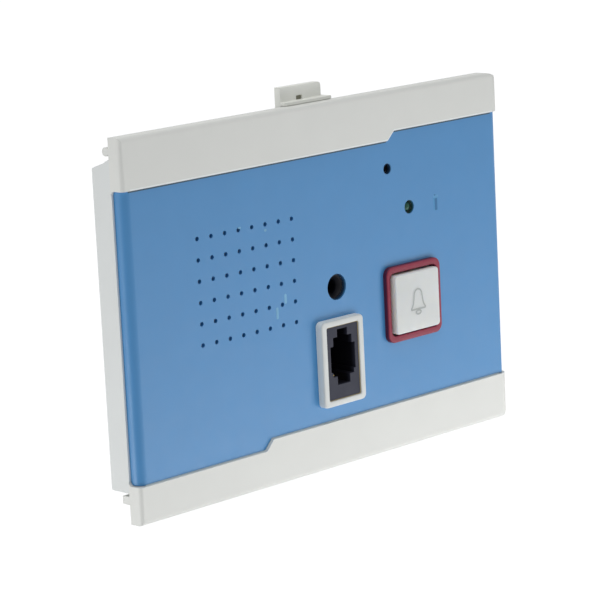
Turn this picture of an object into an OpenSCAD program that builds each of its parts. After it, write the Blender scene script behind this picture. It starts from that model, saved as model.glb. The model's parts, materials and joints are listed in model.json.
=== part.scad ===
// Nurse call substation for a wall box.
// Millimetres. X to the right seen from the front, Y into the wall, Z up.
// The origin is the middle of the two wall-box screws, on the rear base's seat plane.

/* [Panel] */
// Width of the white faceplate
panel_w = 128.5; // [124:0.5:150]
// Height of the white faceplate
panel_h = 89.4; // [86:0.2:110]
// Distance of the panel's middle from the wall-box middle, along X
panel_x = -16; // [-18:0.5:-15]
// Distance from the seat plane to the blue face
face_d = 9.4; // [9:0.1:12]
// Height of the white strips over the blue face
strip_proud = 0.75; // [0.2:0.05:1.5]
// Distance from the seat plane to the faceplate's rear edge
rear_edge_d = 6.2; // [6:0.1:6.4]
// Radius of the faceplate's left end
left_r = 1; // [0.3:0.1:2]
// Radius of the faceplate's right end
right_r = 3; // [1.5:0.1:3.1]
// Radius of the faceplate's two right corners
corner_r = 4.6; // [0.5:0.1:4.8]
// Radius of the blue fascia where it turns round an end
film_r = 2.1; // [1.2:0.1:2.4]
// Radius of the faceplate's long front edges
edge_r = 1.2; // [0.3:0.1:1.4]
// Thickness of the blue fascia
fascia_t = 1; // [0.8:0.1:1.2]
// Thickness of the fascia where it wraps round an end
wrap_t = 0.8; // [0.5:0.1:1]
// Thickness of the housing's wall behind the fascia
wall_t = 1.5; // [1.2:0.1:1.7]
// Thickness of the rim round the back of the faceplate
rim_t = 1.2; // [1:0.1:1.5]
// Height of the blue field's upper edge, left part
blue_top_low = 32.55; // [30:0.05:33.5]
// Height of the blue field's upper edge, right part
blue_top_high = 34.75; // [34:0.05:38]
// Depth of the blue field's lower edge, left part
blue_bottom_low = 35.6; // [34:0.05:38]
// Depth of the blue field's lower edge, right part
blue_bottom_high = 33.15; // [31:0.05:33.5]
// Place of the upper step, from the panel's middle
top_step_x = 23.5; // [10:0.5:40]
// Place of the lower step, left of the panel's middle
bottom_step_x = 22.5; // [10:0.5:40]
// Width of a slanted step
step_w = 2.4; // [1:0.1:6]
// Seam between the fascia and a white strip
seam = 0.15; // [0.05:0.05:0.3]

/* [Rear base] */
// Distance from the faceplate's end to the side of the rear base
base_inset = 0.2; // [0.1:0.1:0.6]
// Height of the rear base
base_h = 75; // [72:0.5:76]
// Wall thickness of the rear base
base_wall = 2; // [1.5:0.1:2.4]
// Thickness of the rear base's floor
floor_t = 1.6; // [1.4:0.1:1.8]
// Height that the sloped top gains towards the faceplate
slope_h = 2.4; // [1.5:0.1:2.6]
// Distance between the two wall-box screws
box_screw_pitch = 60.3; // [60:0.1:60.6]
// Diameter of a wall-box screw hole
box_hole_d = 4.2; // [3.8:0.1:4.6]
// Diameter kept free for a wall-box screw head
box_head_d = 7; // [6.5:0.1:7.2]
// Width of the rear pocket
pocket_w = 64; // [62:0.5:65]
// Height of the rear pocket
pocket_h = 60; // [59:0.5:61]
// Depth of the rear pocket behind the seat plane
pocket_d = 15; // [14:0.5:30]
// Width of the notch that clears a wall box's screw lug
lug_notch_w = 12; // [11:0.5:12.5]
// Height of that notch
lug_notch_h = 5.5; // [4:0.5:6]

/* [Speaker] */
// Columns of sound holes
grid_cols = 8; // [4:1:8]
// Rows of sound holes
grid_rows = 6; // [3:1:6]
// Pitch of the sound holes along a row
pitch_x = 4.375; // [4:0.025:4.5]
// Pitch of the sound holes up a column
pitch_z = 5; // [4.5:0.05:5.1]
// Place of the speaker's middle, from the panel's middle
spk_x = -26.44; // [-30:0.1:-26]
// Height of the speaker's middle
spk_z = 5.95; // [2:0.1:8]
// Diameter of a sound hole
sound_hole_d = 1.1; // [0.8:0.1:2]
// Outer diameter of the speaker frame
spk_d = 36; // [34:0.5:37]
// Diameter of the speaker magnet
magnet_d = 15; // [12:0.5:18]

/* [Call button] */
// Place of the call button's middle
btn_x = 29.1; // [28:0.05:32]
// Height of the call button's middle
btn_z = -8.15; // [-12:0.05:-6]
// Width of the red bezel
bezel_w = 19.45; // [19.3:0.05:24]
// Height of the red bezel
bezel_h = 19; // [18.6:0.1:22]
// Height of the red bezel over the blue face
bezel_proud = 1.3; // [0.6:0.1:2]
// Width of the red rim above and below the cap
bezel_rim = 1.6; // [1.2:0.1:1.7]
// Width of the red rim beside the cap
bezel_side = 1.2; // [1:0.1:1.3]
// Width of the white cap
cap_w = 15.7; // [14:0.1:15.9]
// Height of the white cap, seen from the front
cap_h = 14.75; // [14:0.05:15]
// Height of the cap over the red bezel
cap_proud = 1.1; // [0.3:0.05:2]
// Travel of the cap
btn_travel = 1; // [0.5:0.1:1.2]

/* [Sockets and lamp] */
// Place of the audio jack
audio_x = 3.05; // [2:0.05:3.2]
// Height of the audio jack
audio_z = -0.45; // [-0.6:0.05:0.6]
// Diameter of the audio jack's barrel
audio_barrel_d = 5.8; // [5:0.1:7]
// Diameter of the audio plug's bore
audio_bore_d = 3.6; // [3.5:0.1:4]
// Place of the handset socket's middle
socket_x = 2.5; // [1.5:0.05:2.6]
// Height of the handset socket's middle
socket_z = -18.5; // [-18.7:0.1:-18.3]
// Width of the handset socket's white bezel
socket_w = 14.55; // [14.3:0.05:15.5]
// Height of the handset socket's white bezel
socket_h = 21.2; // [20.9:0.05:22]
// Height of that bezel over the blue face
socket_proud = 2; // [1:0.1:4]
// Rim of that bezel above and below the socket
socket_rim = 1.5; // [1.4:0.05:1.6]
// Rim of that bezel beside the socket
socket_side = 1.75; // [1.6:0.05:1.8]
// Width of the plug opening
plug_w = 8.35; // [7.8:0.05:8.8]
// Height of the plug opening
plug_h = 7.5; // [6.8:0.1:7.6]
// Place of the status lamp
led_x = 29.8; // [24:0.1:34]
// Height of the status lamp
led_z = 15.1; // [12:0.1:18]
// Diameter of the status lamp
led_d = 3; // [2.6:0.1:3.2]
// Place of the microphone hole
mic_x = 22.5; // [21.5:0.1:26]
// Height of the microphone hole
mic_z = 25.6; // [22:0.1:26]
// Diameter of the microphone hole
mic_hole_d = 2.7; // [1:0.1:3]

/* [Release latch] */
// Place of the latch's middle
latch_x = -2.05; // [-3:0.05:-1]
// Width of the tab
tab_w = 13.8; // [11:0.1:15]
// Height of the tab over the faceplate
tab_h = 4.4; // [3:0.1:8]
// Thickness of the tab
tab_t = 2; // [1.8:0.1:2.1]
// Height of the finger ledge
ledge_h = 0.8; // [0.5:0.1:1.5]
// Upward travel of the latch
latch_travel = 3; // [2.5:0.1:3]

/* [Hidden] */
$fn = 48;

// Overrun of every cut, and the smallest running gap
cut = 1;
gap = 0.1;
slip = 0.2;
clear = 0.3;

// Depths along Y, from the front to the wall
face_y = -face_d - strip_proud;
blue_y = -face_d;
core_y = blue_y + fascia_t;
inner_y = core_y + wall_t;
edge_y = -rear_edge_d;
floor_y = -floor_t;
blue_w = panel_w - 2 * strip_proud;
core_w = blue_w - 2 * wrap_t;
core_r = film_r - wrap_t;
film_corner_r = 0.9;
rim_in_x = core_w / 2 - rim_t;

// Clip ribs behind the faceplate
bead_r = 1.05;
bead_in = 3.3;
bead_z = panel_h / 2 - bead_in;
bead_y = edge_y + bead_r;
bead_gap = 3;
web_t = 1.2;
low_rib_t = 1.9;
low_rib_out = 2.35;
low_rib_gap = 0.7;

// Rear base
slope_top_z = base_h / 2 + slope_h;
tongue_lip_t = 0.8;
slope_knee_h = slope_h / 2;
slope_knee_y = 2.3;
rear_chamfer = 0.3;
tongue_x = rim_in_x - slip;
base_in_x = tongue_x - tongue_lip_t;
base_w = panel_w - 2 * base_inset;
base_in_low = base_h / 2 - base_wall;
notch_z = pocket_h / 2 - lug_notch_h;
box_hole_r = box_hole_d / 2;

// Latch: the tab stands behind the faceplate's edge, the tongue runs down inside
tab_front = edge_y + 2 * tab_t / 5;
tab_back = tab_front + tab_t;
tab_low = slope_top_z + clear;
tab_top = panel_h / 2 + tab_h;
tab_r = 1;
ledge_front = edge_y - tab_t / 2;
ledge_over = 1.7;
ledge_w = tab_w + ledge_over;
ledge_shift = ledge_over / 2;
pry_slot_w = 2;
pry_slot_h = 1;
pry_slot_shift = 0.5;
latch_stem_w = 8;
ear_out = 2.6;
ear_t = 1.2;
ear_h = 2.8;
ear_top = base_h / 2 - base_wall - clear - latch_travel;
ear_back = floor_y - clear;
ear_front = ear_back - ear_t;
latch_stem_low = 22.4;
window_w = 4.6;
window_low = 25.4;
spring_r = 1.8;
spring_wire_r = 0.25;
spring_turns = 5;
spring_seat = 33.6;
lug_t = 1.2;
peg_r = 0.9;
peg_h = 1.4;
spring_y = (tab_front + tab_back) / 2;
rail_t = 1.2;
rail_low = 23;
rail_top = 28.5;
rail_lip = 1;
keeper_t = 1.2;
keeper_w = 1.4;
keeper_top = ear_top - ear_h + latch_travel - 2 * slip;
keeper_low = pocket_h / 2 - floor_t + slip;
latch_slot_w = latch_stem_w + 4 * slip;

// Bottom hooks
hook_x = 40;
hook_w = 8;
hook_t = 1.2;
hook_nose_t = 1.4;
hook_reach = 3;
hook_back = edge_y + hook_reach;
hook_bite = 1.5;

// Call button
bezel_r = 2.2;
bezel_front = blue_y - bezel_proud;
well_w = bezel_w - 2 * bezel_side;
well_h = bezel_h - 2 * bezel_rim;
well_r = bezel_r - bezel_rim / 2;
collar_t = 0.7;
collar_w = well_w + 2 * collar_t;
collar_h = well_h + 2 * collar_t;
collar_r = well_r + collar_t;
cap_front = bezel_front - cap_proud;
cap_t = 1.2;
cap_skirt_t = 1;
cap_r = 0.9;
cap_edge = 0.5;
cap_stop_share = 0.3;
cap_back = inner_y - clear - cap_stop_share * btn_travel;
lug_out = (well_w - cap_w) / 2 - slip;
cap_lug_t = 0.6;
cap_lug_h = 4;
ledge_t = 0.5;
stem_r = 2.4;

// Board and what it carries
board_stand = 2;
board_front = inner_y + board_stand;
board_t = 1.6;
board_back = board_front + board_t;
board_x1 = 13;
board_side_gap = 1;
board_x2 = base_in_x - board_side_gap;
board_z = 32;
board_cut_x = 20.4;
board_cut_z = 25.9;
board_screw_in = 2.5;
board_screw_spots = [[board_x2 - board_screw_in, 29], [board_x2 - board_screw_in, -29],
                     [23, -28.5], [16.5, 6.5]];
boss_r = 2.2;
pilot_r = 0.85;
screw_r = 0.8;
board_hole_r = 1.1;
board_head_r = 1.9;
board_head_t = 1.1;
switch_w = 12;
switch_h = 3.4;
switch_front = board_front - switch_h;
plunger_r = 3;
plunger_out = 1;
plunger_in = 0.6;
switch_pin_r = 0.5;
switch_pin_l = 0.8;
switch_pin_x = 5;
switch_pin_z = 2.5;
led_flange_r = 1.9;
led_flange_t = 0.5;
sunk = 0.4;
led_top = blue_y + sunk;
led_lead_r = 0.25;
led_lead_x = 0.635;
led_hole_d = led_d + 2 * slip;
mic_r = 3;
mic_t = 2;
mic_boot_t = 0.6;
mic_front = core_y + mic_boot_t;
chip_in = 7.5;
amp_in = 19.5;
logic_in = 17.5;
chip_spots = [[board_x2 - amp_in, 12, 10, 8, 1.5], [board_x2 - logic_in, -8, 12, 12, 1.3],
              [board_x2 - chip_in, 6, 5, 6, 1.2], [board_x2 - chip_in, -11.5, 6, 5, 1.2]];
pocket_side = pocket_w / 2 - floor_t - panel_x;
can_in = 4.9;
can_pitch = 7.5;
can_z = 22;
cap_spots = [[pocket_side - can_in - can_pitch, can_z], [pocket_side - can_in, can_z]];
can_r = 3.1;
can_h = 8;
can_foot_t = 1.2;
can_foot_w = 6.6;
coil_in = 10.4;
coil_x = pocket_side - coil_in;
coil_z = -20;
coil_core_w = 12;
coil_core_h = 10;
coil_core_t = 2.4;
coil_bobbin_w = 9;
coil_wind_w = 11;
coil_h = 7.2;
header_spots = [[17, -3, 2], [17, -12, 4], [17, 16.4, 5]];
header_pitch = 2;
header_w = 4;
header_h = 3.4;

// Speaker
grid_hole_r = sound_hole_d / 2;
back_hole_r = grid_hole_r + slip;
gasket_t = 0.4;
gasket_w = 2.3;
spk_front = inner_y + gasket_t;
spk_flange_t = 0.8;
spk_flange_w = 2.2;
spk_basket_r = spk_d / 2 - spk_flange_w;
spk_basket_t = 0.8;
spk_depth = 2.5;
spk_basket_back = spk_front + spk_depth;
spk_floor_t = 0.6;
magnet_r = magnet_d / 2;
magnet_back = floor_y - clear;
pole_r = 4.6;
cone_t = 0.3;
cone_edge_w = 1.6;
ring_t = 1;
ring_h = 1;
clamp_out = 3.1;
clamp_r = spk_d / 2 + clamp_out;
clamp_angles = [60, 180, 300];
clamp_w = 5;
clamp_t = 0.8;
clamp_in = 3;
clamp_boss_r = 2;
clamp_head_r = 1.6;
clamp_head_t = 1;
tab_terminal_x = 13.6;
tab_terminal_w = 3;
tab_terminal_h = 5;
tab_terminal_t = 0.5;

// Sockets
socket_r = 1.3;
socket_front = blue_y - socket_proud;
socket_in_w = socket_w - 2 * socket_side;
socket_in_h = socket_h - 2 * socket_rim;
socket_in_r = 0.5;
socket_collar_t = 0.75;
socket_face = socket_front + sunk;
socket_back = 4.4;
socket_shoulder = 1.6;
shoulder_t = 1.5;
plug_rise = 4.1;
plug_top = socket_z + plug_rise;
plug_depth = 13;
plug_foot_h = 1.1;
plug_foot_in = 0.6;
latch_steps = [[6.3, 2.15], [3.45, 1.9]];
contact_notch_w = 4.25;
contact_notch_h = 2.1;
contact_r = 0.22;
contact_count = 4;
contact_pitch = 1.02;
contact_set_back = 5;
contact_front = socket_face + contact_set_back;
contact_rise = 1.3;
contact_slot = 0.7;
contact_z = plug_top - plug_h - contact_notch_h / 2;
audio_front = core_y;
audio_lip = 0.3;
audio_cone_d = 1.2;
audio_hole_d = audio_barrel_d + 2 * clear;
audio_w = 9;
audio_h = 10;
audio_back = 4.6;
audio_wall = 0.6;
blade_w = 1.2;
blade_t = 0.3;
blade_l = 3;
bracket_front = inner_y + shoulder_t;
bracket_t = 1.2;
bracket_x1 = -7.2;
bracket_x2 = 12.2;
bracket_z1 = -32;
bracket_z2 = 11.2;
bracket_screw_spots = [[-4.8, 8.9], [10.2, 8.9], [-7.6, -29.8]];
bracket_boss_r = 2;

// Terminal block, grommet and label, placed from the wall-box middle
term_x = 8;
term_z = -14;
term_ways = 5;
term_pitch = 5;
term_w = 9;
term_h = 9;
term_well_r = 1.8;
term_well_d = 1.2;
term_screw_r = 1.6;
term_screw_t = 1;
term_slot_w = 0.5;
term_slot_d = 0.4;
term_port_r = 1.1;
grommet_z = 14;
grommet_x = -8;
grommet_hole_r = 5;
grommet_bore_r = 3;
grommet_flange = 1.6;
grommet_flange_t = 1.2;
label_w = 26;
label_h = 14;
label_t = 0.2;
label_x = 12;

// Wires
wire_r = 0.5;
wire_step = 1.3;
fine_r = wire_r / 2;
spk_lead_in = 4;
spk_lead_y = 2.5;
spk_lead_front = floor_y - clear - wire_r;
spk_lead_x = floor_t + spk_lead_in - pocket_w / 2 - panel_x;
spk_lead_z = bracket_z2;
under_term_y = pocket_d - floor_t - term_h - 2 * wire_r;
header_floor = board_back + header_h / 2;
blade_x = audio_w / 2 - blade_w;
function blade_z(s) = audio_z + (1 - abs(s)) * audio_h / 4;

// Helpers

// Places children that are drawn from the panel's middle
module on_panel() {
    translate([panel_x, 0, 0]) children();
}

// Extrudes an outline drawn in X and Z from one depth to another
module prism(front, back) {
    translate([0, back, 0]) rotate([90, 0, 0]) linear_extrude(back - front) children();
}

// A round post or bore along Y
module post(x, z, r, front, back) {
    translate([x, front, z]) rotate([-90, 0, 0]) cylinder(r = r, h = back - front);
}

// A block between two depths
module block(x, z, w, h, front, back) {
    translate([x - w / 2, front, z - h / 2]) cube([w, back - front, h]);
}

module round_rect(w, h, r) {
    square([w - 2 * r, h], center = true);
    square([w, h - 2 * r], center = true);
    for (sx = [-1, 1], sz = [-1, 1])
        translate([sx * (w / 2 - r), sz * (h / 2 - r)]) circle(r);
}

// What rounding an outline's corner takes off; sx and sy point out of the outline
module corner_off(x, y, sx, sy, r) {
    translate([x - sx * r, y - sy * r]) difference() {
        translate([sx > 0 ? 0 : -r - cut, sy > 0 ? 0 : -r - cut]) square(r + cut);
        circle(r);
    }
}

// An outline that is flat in front, with rounded ends
module end_profile(w, front, back, left, right) {
    difference() {
        translate([-w / 2, front]) square([w, back - front]);
        corner_off(-w / 2, front, -1, -1, left);
        corner_off(w / 2, front, 1, -1, right);
    }
}

// The faceplate seen from the front
module panel_outline() {
    difference() {
        square([panel_w, panel_h], center = true);
        for (s = [-1, 1]) corner_off(panel_w / 2, s * panel_h / 2, 1, s, corner_r);
    }
}

// Outline of the blue field, pulled in by a seam
module blue_field(s) {
    polygon([
        [-panel_w / 2, blue_top_low - s],
        [top_step_x - step_w / 2, blue_top_low - s],
        [top_step_x + step_w / 2, blue_top_high - s],
        [panel_w / 2, blue_top_high - s],
        [panel_w / 2, s - blue_bottom_high],
        [step_w / 2 - bottom_step_x, s - blue_bottom_high],
        [-step_w / 2 - bottom_step_x, s - blue_bottom_low],
        [-panel_w / 2, s - blue_bottom_low]]);
}

// The blue field as a solid; its rear corners on the two ends are rounded
module blue_space(s, front) {
    intersection() {
        prism(front, edge_y + cut) blue_field(s);
        for (e = [[-1, blue_top_low, blue_bottom_low], [1, blue_top_high, blue_bottom_high]])
            translate([e[0] * panel_w / 4, 0, 0]) bar(panel_w / 2) difference() {
                translate([front, s - e[2]]) square([edge_y + cut - front, e[1] + e[2] - 2 * s]);
                corner_off(edge_y, e[1] - s, 1, 1, film_corner_r);
                corner_off(edge_y, s - e[2], 1, -1, film_corner_r);
            }
    }
}

module sound_holes(r, front, back) {
    for (i = [0 : grid_cols - 1], j = [0 : grid_rows - 1])
        post(spk_x + (i - (grid_cols - 1) / 2) * pitch_x,
             spk_z + (j - (grid_rows - 1) / 2) * pitch_z, r, front, back);
}

// The openings that the fascia and the housing share
module face_openings(front, back) {
    post(led_x, led_z, led_hole_d / 2, front, back);
    post(mic_x, mic_z, mic_hole_d / 2, front, back);
    post(audio_x, audio_z, audio_hole_d / 2, front, back);
    translate([btn_x, 0, btn_z])
        prism(front, back) round_rect(collar_w + slip, collar_h + slip, collar_r);
    translate([socket_x, 0, socket_z])
        prism(front, back) round_rect(socket_in_w + 2 * socket_collar_t + slip,
                                      socket_in_h + 2 * socket_collar_t + slip, socket_r);
}

function unit(v) = v / norm(v);

// Rounds the corners of a route
function rounded(p, b) = [
    p[0],
    for (i = [1 : len(p) - 2], u = [0, 0.5, 1])
        let(a = p[i] + b * unit(p[i - 1] - p[i]), c = p[i] + b * unit(p[i + 1] - p[i]))
            (1 - u) * (1 - u) * a + 2 * u * (1 - u) * p[i] + u * u * c,
    p[len(p) - 1]];

function tangent(p, i) =
    unit(unit(p[min(i + 1, len(p) - 1)] - p[min(i, len(p) - 2)])
         + unit(p[max(i, 1)] - p[max(i - 1, 0)]));

// The side direction of ring i, carried along from ring to ring
function side(p, i) =
    let(t = tangent(p, i),
        s = i > 0 ? side(p, i - 1) : cross(t, abs(t[2]) < 0.7 ? [0, 0, 1] : [1, 0, 0]))
        unit(s - (s * t) * t);

// A tube along a list of points
module sweep(p, r, sides = 6) {
    last = len(p) - 1;
    rings = [for (i = [0 : last])
        let(t = tangent(p, i), a = side(p, i), b = cross(t, a))
            for (k = [0 : sides - 1])
                p[i] + r * (cos(360 * k / sides) * a + sin(360 * k / sides) * b)];
    walls = [for (i = [0 : last - 1], k = [0 : sides - 1])
        let(n = (k + 1) % sides, c = i * sides)
            [c + k, c + sides + k, c + sides + n, c + n]];
    polyhedron(rings, concat(
        [[for (k = [0 : sides - 1]) k]],
        walls,
        [[for (k = [sides - 1 : -1 : 0]) last * sides + k]]));
}

module wire(points, r) {
    sweep(rounded(points, 2 * r), r);
}

// Shells

module front_housing() {
    color("whitesmoke") on_panel() difference() {
        union() {
            intersection() {
                union() {
                    translate([0, 0, -panel_h / 2]) linear_extrude(panel_h)
                        end_profile(core_w, core_y, edge_y, core_r, core_r);
                    difference() {
                        translate([0, 0, -panel_h / 2]) linear_extrude(panel_h)
                            end_profile(panel_w, face_y, edge_y, left_r, right_r);
                        blue_space(0, face_y - cut);
                    }
                }
                bar(panel_w + 2 * cut) rotate([0, 0, 90])
                    mirror([0, 1, 0]) end_profile(panel_h, face_y, edge_y, edge_r, edge_r);
                prism(face_y - cut, edge_y + cut) panel_outline();
            }
            housing_ribs();
            housing_bosses();
        }
        rim_cut();
        sound_holes(back_hole_r, face_y - cut, inner_y + cut);
        face_openings(face_y - cut, inner_y + cut);
        post(mic_x, mic_z, mic_r + mic_boot_t + gap, core_y - cut, inner_y + cut);
        post(led_x, led_z, led_flange_r + slip, core_y - cut, inner_y + cut);
        for (p = board_screw_spots) post(p[0], p[1], pilot_r, core_y + wall_t / 2, board_front + cut);
        for (p = bracket_screw_spots)
            post(p[0], p[1], pilot_r, core_y + wall_t / 2, bracket_front + cut);
        for (a = clamp_angles)
            post(spk_x + clamp_r * cos(a), spk_z + clamp_r * sin(a), pilot_r,
                 core_y + wall_t / 2, spk_front + spk_flange_t + cut);
    }
}

// The shallow hollow inside the rim, with the ribs and bosses left standing
module rim_cut() {
    difference() {
        block(0, 0, 2 * rim_in_x, panel_h - 2 * rim_t, inner_y, edge_y + cut);
        housing_ribs();
        housing_bosses();
    }
}

module housing_ribs() {
    // Top bead, left and right of the latch
    for (span = [[-panel_w / 2, latch_x - tab_w / 2 - bead_gap],
                 [latch_x + tab_w / 2 + bead_gap, panel_w / 2]]) {
        inside = [max(span[0], -rim_in_x - gap), min(span[1], rim_in_x + gap)];
        translate([span[0], bead_y, bead_z])
            rotate([0, 90, 0]) cylinder(r = bead_r, h = span[1] - span[0]);
        translate([span[0], edge_y - gap, bead_z - web_t / 2])
            cube([span[1] - span[0], bead_y - edge_y, web_t]);
        translate([inside[0], inner_y - gap, bead_z - web_t / 2])
            cube([inside[1] - inside[0], bead_y - inner_y, web_t]);
    }
    // Bottom rib
    block(0, -base_h / 2 - low_rib_gap - low_rib_t / 2, panel_w, low_rib_t,
          edge_y - gap, edge_y + low_rib_out);
    block(0, -base_h / 2 - low_rib_gap - low_rib_t / 2, 2 * (rim_in_x + gap), low_rib_t,
          inner_y - gap, edge_y);
    // Ring round the speaker
    translate([spk_x, inner_y - gap, spk_z]) rotate([-90, 0, 0]) difference() {
        cylinder(r = spk_d / 2 + clear + ring_t, h = ring_h + gap);
        translate([0, 0, -cut]) cylinder(r = spk_d / 2 + clear, h = ring_h + 2 * cut);
    }
    // Bottom hooks
    for (s = [-1, 1]) {
        block(s * hook_x, slip + hook_t / 2 - base_in_low, hook_w, hook_t, inner_y - gap, hook_back);
        block(s * hook_x, slip + hook_t / 2 - base_in_low - hook_bite / 2, hook_w,
              hook_t + hook_bite, hook_back - hook_nose_t, hook_back);
    }
    // Latch pads, rails and spring lug
    block(latch_x, panel_h / 2 - rim_t, tab_w - 2 * ear_out, 2 * rim_t - slip,
          edge_y - gap, tab_front - slip);
    for (s = [-1, 1]) {
        block(latch_x + s * (latch_stem_w + window_w) / 4, (rail_low + rail_top) / 2,
              (latch_stem_w - window_w) / 2, rail_top - rail_low, inner_y - gap, tab_front - slip);
        block(latch_x + s * (latch_stem_w / 2 + slip + rail_t / 2), (rail_low + rail_top) / 2,
              rail_t, rail_top - rail_low, inner_y - gap, tab_back + slip + rail_lip);
        block(latch_x + s * (latch_stem_w / 2 + slip), (rail_low + rail_top) / 2,
              2 * rail_t, rail_top - rail_low, tab_back + slip, tab_back + slip + rail_lip);
    }
    block(latch_x, spring_seat + lug_t / 2, window_w - 4 * slip, lug_t,
          inner_y - gap, tab_back + slip);
    translate([latch_x, spring_y, spring_seat - peg_h]) cylinder(r = peg_r, h = peg_h + gap);
}

module housing_bosses() {
    for (p = board_screw_spots) post(p[0], p[1], boss_r, inner_y - gap, board_front);
    for (p = bracket_screw_spots) post(p[0], p[1], bracket_boss_r, inner_y - gap, bracket_front);
    for (a = clamp_angles)
        post(spk_x + clamp_r * cos(a), spk_z + clamp_r * sin(a), clamp_boss_r,
             inner_y - gap, spk_front + spk_flange_t);
}

module blue_fascia() {
    color("steelblue") on_panel() difference() {
        intersection() {
            difference() {
                translate([0, 0, -panel_h / 2]) linear_extrude(panel_h)
                    end_profile(blue_w, blue_y, edge_y, film_r, film_r);
                translate([0, 0, -panel_h / 2 - cut]) linear_extrude(panel_h + 2 * cut)
                    end_profile(core_w, core_y, edge_y + cut, core_r, core_r);
            }
            blue_space(seam, blue_y - cut);
        }
        sound_holes(grid_hole_r, blue_y - cut, core_y + cut);
        face_openings(blue_y - cut, core_y + cut);
    }
}

// Section of the base seen from the side, in Y and Z
module base_section(front) {
    polygon([
        [front, -base_h / 2],
        [-rear_chamfer, -base_h / 2],
        [0, rear_chamfer - base_h / 2],
        [0, base_h / 2 - rear_chamfer],
        [-rear_chamfer, base_h / 2],
        [edge_y + slope_knee_y, base_h / 2 + slope_knee_h],
        [edge_y, slope_top_z],
        [front, slope_top_z]]);
}

module base_hollow_section() {
    polygon([
        [inner_y - cut, -base_in_low],
        [floor_y, -base_in_low],
        [floor_y, base_h / 2 - base_wall],
        [edge_y + slope_knee_y, base_h / 2 + slope_knee_h - base_wall],
        [edge_y, slope_top_z - base_wall],
        [inner_y - cut, slope_top_z - base_wall]]);
}

// Turns a Y-Z section into a bar along X
module bar(w) {
    translate([-w / 2, 0, 0]) rotate([90, 0, 90]) linear_extrude(w) children();
}

// Outline of the pocket, notched for the wall box's screw lugs
module pocket_outline(inset) {
    difference() {
        square([pocket_w - 2 * inset, pocket_h - 2 * inset], center = true);
        for (s = [-1, 1])
            translate([0, s * pocket_h / 2])
                square([lug_notch_w + 2 * inset, 2 * (lug_notch_h + inset)], center = true);
    }
}

module rear_base() {
    color("white") {
        difference() {
            union() {
                on_panel() bar(base_w) base_section(edge_y);
                on_panel() bar(2 * tongue_x) base_section(inner_y);
                prism(-gap, pocket_d) pocket_outline(0);
            }
            on_panel() bar(2 * base_in_x) base_hollow_section();
            prism(floor_y - cut, pocket_d - floor_t) pocket_outline(floor_t);
            for (s = [-1, 1]) post(0, s * box_screw_pitch / 2, box_hole_r, floor_y - cut, cut);
            post(grommet_x, grommet_z, grommet_hole_r, pocket_d - floor_t - cut, pocket_d + cut);
            on_panel() {
                // Slot for the latch's tongue, open towards the front
                block(latch_x, slope_top_z - slope_h, latch_slot_w, 4 * base_wall,
                      inner_y - cut, tab_back + 2 * slip);
                for (s = [-1, 1])
                    block(s * hook_x, -base_h / 2, hook_w + 4 * slip, 4 * base_wall,
                          hook_back - hook_nose_t - slip, hook_back + slip);
            }
        }
        on_panel() keepers();
    }
}

// Two lugs that the latch's ears catch behind
module keepers() {
    side = latch_stem_w / 2 + ear_out + 2 * slip;
    for (s = [-1, 1]) {
        block(latch_x + s * (side + keeper_w / 2), (keeper_low + keeper_top) / 2, keeper_w,
              keeper_top - keeper_low, ear_front - clear - keeper_t, floor_y + gap);
        block(latch_x + s * (side + keeper_w - ear_out / 2 - keeper_w / 2),
              (keeper_low + keeper_top) / 2, ear_out + keeper_w,
              keeper_top - keeper_low, ear_front - clear - keeper_t, ear_front - clear);
    }
}

// Release latch

module release_latch() {
    color("gainsboro") on_panel() difference() {
        union() {
            block(latch_x, (tab_low + tab_top - tab_r) / 2, tab_w, tab_top - tab_r - tab_low,
                  tab_front, tab_back);
            block(latch_x - tab_r / 2, tab_top - tab_r, tab_w - tab_r, 2 * tab_r, tab_front, tab_back);
            post(latch_x + tab_w / 2 - tab_r, tab_top - tab_r, tab_r, tab_front, tab_back);
            block(latch_x + ledge_shift, panel_h / 2 + gap + ledge_h / 2, ledge_w, ledge_h,
                  ledge_front, tab_back);
            block(latch_x, (latch_stem_low + tab_low + gap) / 2, latch_stem_w,
                  tab_low + gap - latch_stem_low, tab_front, tab_back);
            block(latch_x, ear_top - ear_h / 2, latch_stem_w + 2 * ear_out, ear_h, ear_front, ear_back);
            block(latch_x, ear_top - ear_h / 2, latch_stem_w, ear_h, tab_back - gap, ear_back);
        }
        block(latch_x, (window_low + spring_seat + lug_t + 2 * slip) / 2, window_w,
              spring_seat + lug_t + 2 * slip - window_low, tab_front - cut, ear_back + cut);
        block(latch_x - pry_slot_shift, panel_h / 2 + gap + ledge_h + pry_slot_h / 2,
              pry_slot_w, pry_slot_h,
              tab_front - cut, tab_back + cut);
    }
    color("gainsboro") on_panel()
        translate([latch_x, spring_y, window_low - gap]) cylinder(r = peg_r, h = peg_h + gap);
}

// A compression spring: one tube along a helix, with a flat turn at each end
module latch_spring() {
    steps = 12;
    height = spring_seat - window_low - 2 * spring_wire_r;
    r = spring_r - spring_wire_r;
    color("silver") on_panel()
        translate([latch_x, spring_y, window_low + spring_wire_r])
            sweep([for (i = [-steps : steps * (spring_turns + 1)])
                [r * cos(360 * i / steps), r * sin(360 * i / steps),
                 height * min(max(i / steps, 0), spring_turns) / spring_turns]], spring_wire_r);
}

// Call button

module call_bezel() {
    color("indianred") on_panel() translate([btn_x, 0, btn_z]) {
        difference() {
            union() {
                prism(bezel_front, blue_y) round_rect(bezel_w, bezel_h, bezel_r);
                prism(blue_y - gap, inner_y) round_rect(collar_w, collar_h, collar_r);
            }
            prism(bezel_front - cut, inner_y + cut) round_rect(well_w, well_h, well_r);
        }
        for (s = [-1, 1])
            block(s * (well_w / 2 - (well_w - cap_w) / 4 + slip), 0, (well_w - cap_w) / 2,
                  cap_lug_h + 2 * slip, cap_back - cap_lug_t - gap - ledge_t,
                  cap_back - cap_lug_t - gap);
    }
}

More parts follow.
